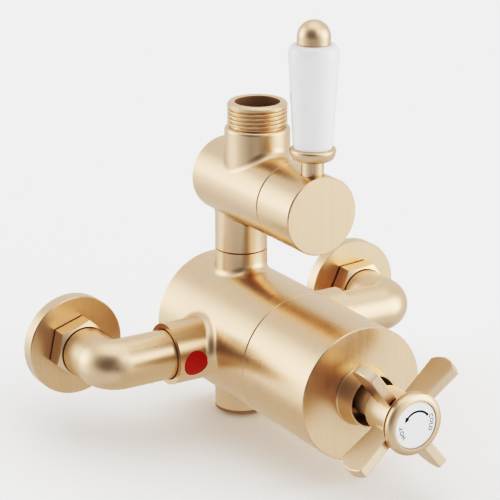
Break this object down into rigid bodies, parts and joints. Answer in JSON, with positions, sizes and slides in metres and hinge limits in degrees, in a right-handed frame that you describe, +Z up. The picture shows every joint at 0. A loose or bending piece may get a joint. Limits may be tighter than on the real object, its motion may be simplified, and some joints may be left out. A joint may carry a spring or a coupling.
{
  "type": "thermostatic mixing valve",
  "caption": "Wall-mounted exposed shower mixing valve in satin brass, with a cross-head temperature knob, a white-handled flow lever and a threaded riser outlet on top.",
  "frame": {"origin": "on the wall face, midway between the two inlets, at their height", "axes": "+X to the user's right (cold side), +Y into the wall, +Z up"},
  "size_m": [0.1954, 0.176, 0.1931],
  "materials": {
    "satin_brass": "fine satin brushed",
    "bare_brass": "turned, unplated",
    "white_glaze": "gloss white glaze",
    "red_enamel": "semi-gloss enamel",
    "plain_steel": "bright drawn stainless",
    "acetal": "moulded",
    "capsule_copper": "drawn copper",
    "disc_ceramic": "lapped alumina",
    "seal_rubber": "moulded"
  },
  "bodies": {
    "valve": {"mixer_body": "satin_brass", "front_cover": "satin_brass", "knob_collar": "satin_brass", "hot_rose": "satin_brass", "cold_rose": "satin_brass", "hot_tail": "satin_brass", "cold_tail": "satin_brass", "hot_elbow": "satin_brass", "cold_elbow": "satin_brass", "bottom_plug": "satin_brass", "flow_body": "satin_brass", "cartridge_housing": "bare_brass", "cartridge_nut": "bare_brass", "outlet_nipple": "bare_brass", "flow_cartridge_shell": "bare_brass", "flow_nut": "bare_brass", "hot_marker": "red_enamel", "return_spring": "plain_steel", "inlet_grub_screws": "plain_steel", "hot_check_spring": "plain_steel", "cold_check_spring": "plain_steel", "hot_strainer": "plain_steel", "cold_strainer": "plain_steel", "hot_check_body": "acetal", "cold_check_body": "acetal", "flow_fixed_disc": "disc_ceramic", "cartridge_seals": "seal_rubber", "tail_seals": "seal_rubber", "elbow_seals": "seal_rubber", "bottom_plug_seal": "seal_rubber", "nipple_seals": "seal_rubber", "flow_seal": "seal_rubber"},
    "temperature_knob": {"knob_crosshead": "satin_brass", "knob_bezel": "satin_brass", "knob_index": "white_glaze", "knob_screw": "plain_steel", "temperature_spindle": "bare_brass", "stop_ring": "bare_brass"},
    "mixing_shuttle": {"adjusting_nut": "bare_brass", "wax_capsule": "capsule_copper", "shuttle_piston": "bare_brass"},
    "flow_lever": {"lever_hub": "satin_brass", "lever_stem": "satin_brass", "lever_grip": "white_glaze", "lever_finial": "satin_brass", "lever_tie_rod": "plain_steel", "lever_grub_screw": "plain_steel", "flow_spindle": "bare_brass", "flow_moving_disc": "disc_ceramic"},
    "hot_check": {"hot_check_poppet": "acetal"},
    "cold_check": {"cold_check_poppet": "acetal"}
  },
  "joints": [
    {"name": "temperature_turn", "type": "hinge", "parent": "valve", "child": "temperature_knob", "pos_m": [0, -0.15, 0.0009], "axis": [0, -1, 0], "range_deg": [-180, 90]},
    {"name": "shuttle_slide", "type": "slide", "parent": "valve", "child": "mixing_shuttle", "axis": [0, -1, 0], "range_m": [-0.00151, 0.00076], "deforming": ["return_spring"]},
    {"name": "lever_turn", "type": "hinge", "parent": "valve", "child": "flow_lever", "pos_m": [0, -0.0836, 0.0709], "axis": [0, -1, 0], "range_deg": [0, 90]},
    {"name": "hot_check_slide", "type": "slide", "parent": "valve", "child": "hot_check", "axis": [1, 0, 0], "range_m": [0, 0.0021], "stiffness_N_per_m": 40, "springref_m": -0.004, "deforming": ["hot_check_spring"]},
    {"name": "cold_check_slide", "type": "slide", "parent": "valve", "child": "cold_check", "axis": [-1, 0, 0], "range_m": [0, 0.0021], "stiffness_N_per_m": 40, "springref_m": -0.004, "deforming": ["cold_check_spring"]}
  ],
  "couplings": [
    {"joint": "shuttle_slide", "follows": "temperature_turn", "m_per_rad": 0.00047746}
  ]
}
